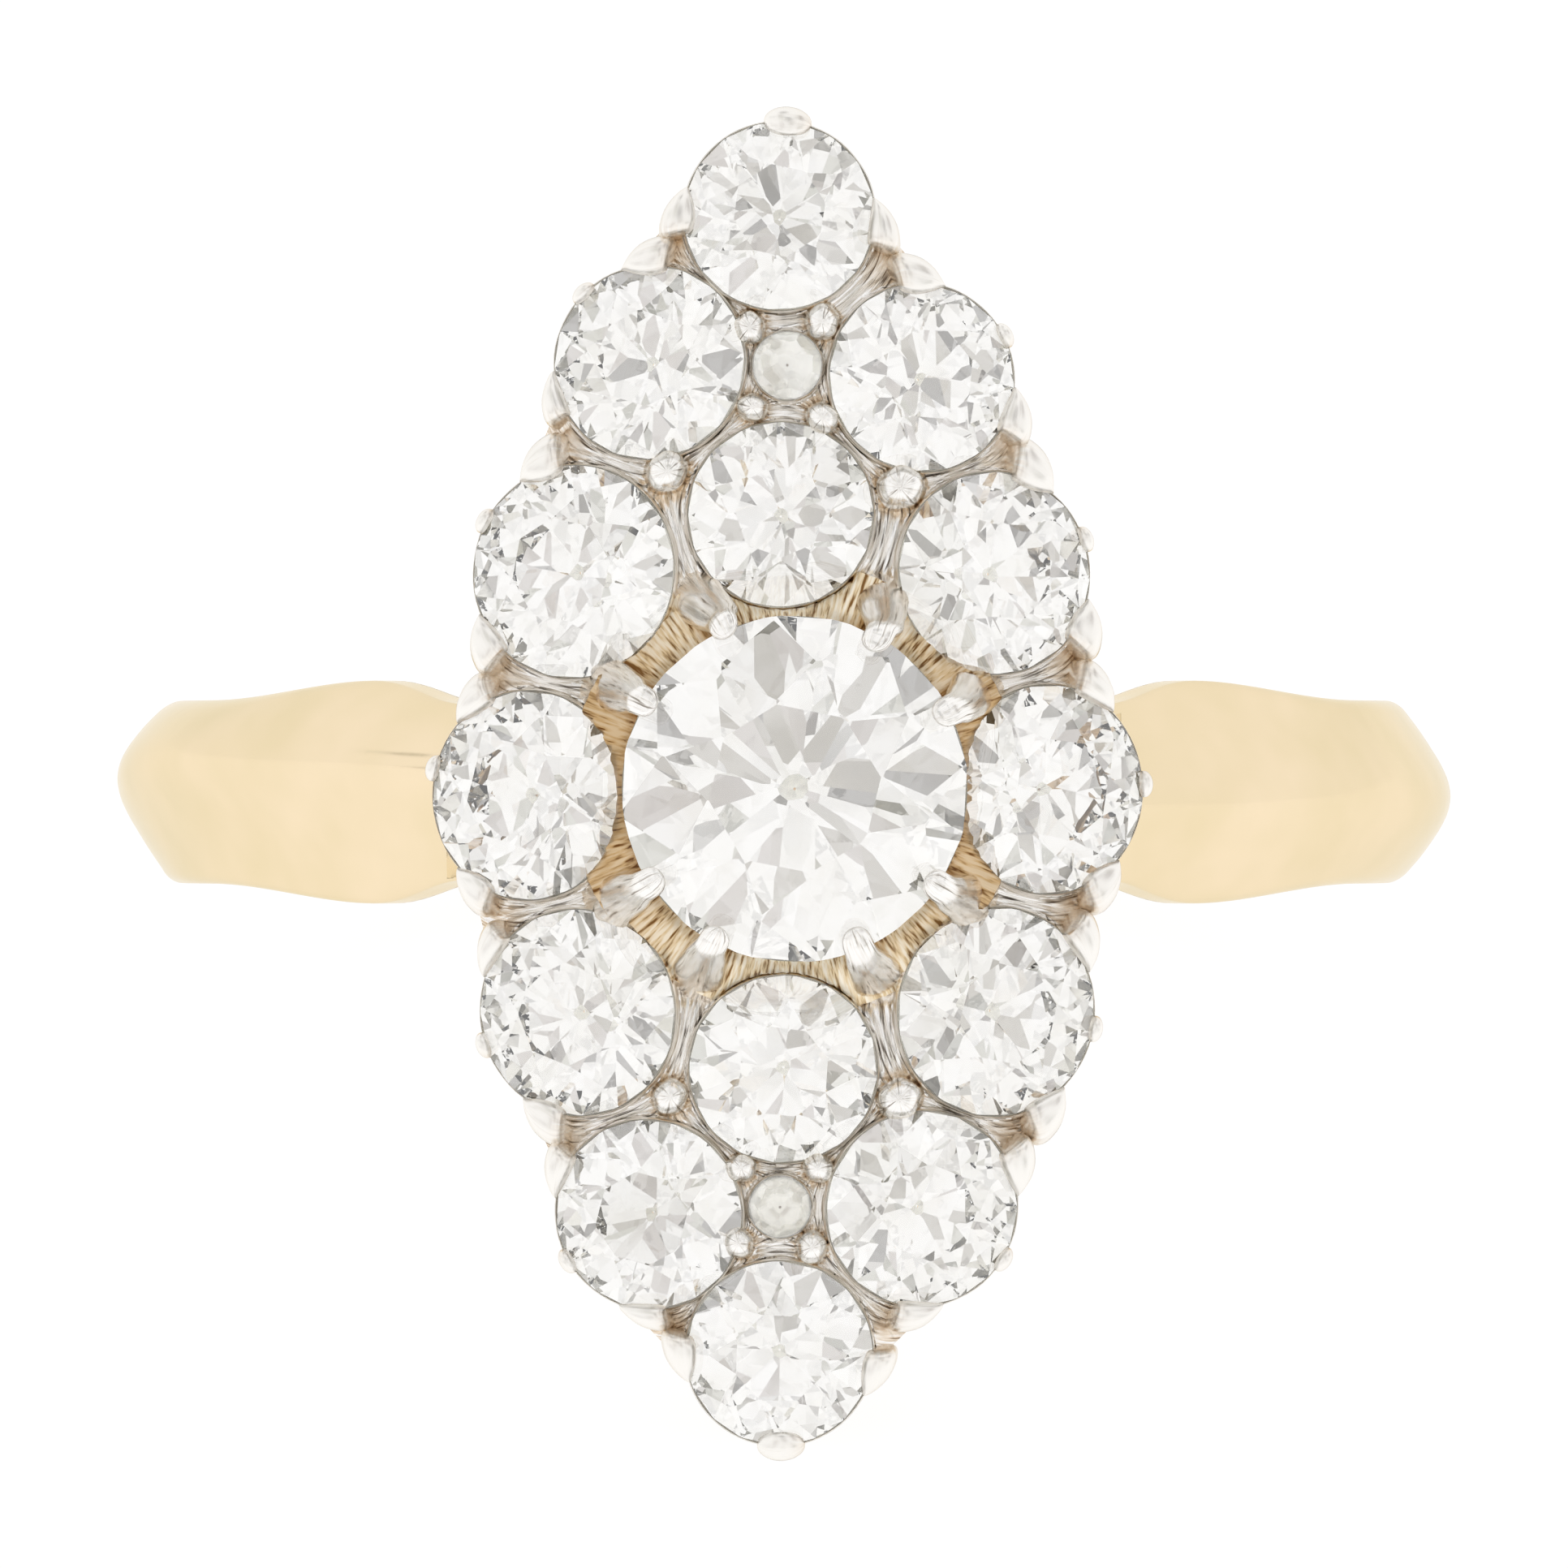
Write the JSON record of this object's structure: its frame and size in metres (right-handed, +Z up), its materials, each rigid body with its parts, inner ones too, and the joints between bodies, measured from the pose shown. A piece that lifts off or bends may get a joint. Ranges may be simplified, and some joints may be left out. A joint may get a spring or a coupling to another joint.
{
  "type": "navette ring",
  "caption": "Gold finger ring with a knife-edge band and a long pointed-oval head of round diamonds held in white metal claws.",
  "frame": {"origin": "centre of the finger hole", "axes": "+Z up with the ring lying on its side, +X across the hand, the face of the head looks along -Y and leans back by about 23 degrees"},
  "size_m": [0.0208, 0.0243, 0.019],
  "materials": {
    "yellow_gold": "polished",
    "platinum": "polished",
    "diamond": "polished"
  },
  "bodies": {
    "root": {"gold_mount": "yellow_gold", "claw_setting": "platinum", "centre_diamond": "diamond", "top_diamond": "diamond", "upper_left_diamond": "diamond", "upper_right_diamond": "diamond", "upper_inner_diamond": "diamond", "left_high_diamond": "diamond", "right_high_diamond": "diamond", "left_diamond": "diamond", "right_diamond": "diamond", "left_low_diamond": "diamond", "right_low_diamond": "diamond", "lower_inner_diamond": "diamond", "lower_left_diamond": "diamond", "lower_right_diamond": "diamond", "bottom_diamond": "diamond", "upper_rose_diamond": "diamond", "lower_rose_diamond": "diamond"}
  },
  "joints": []
}
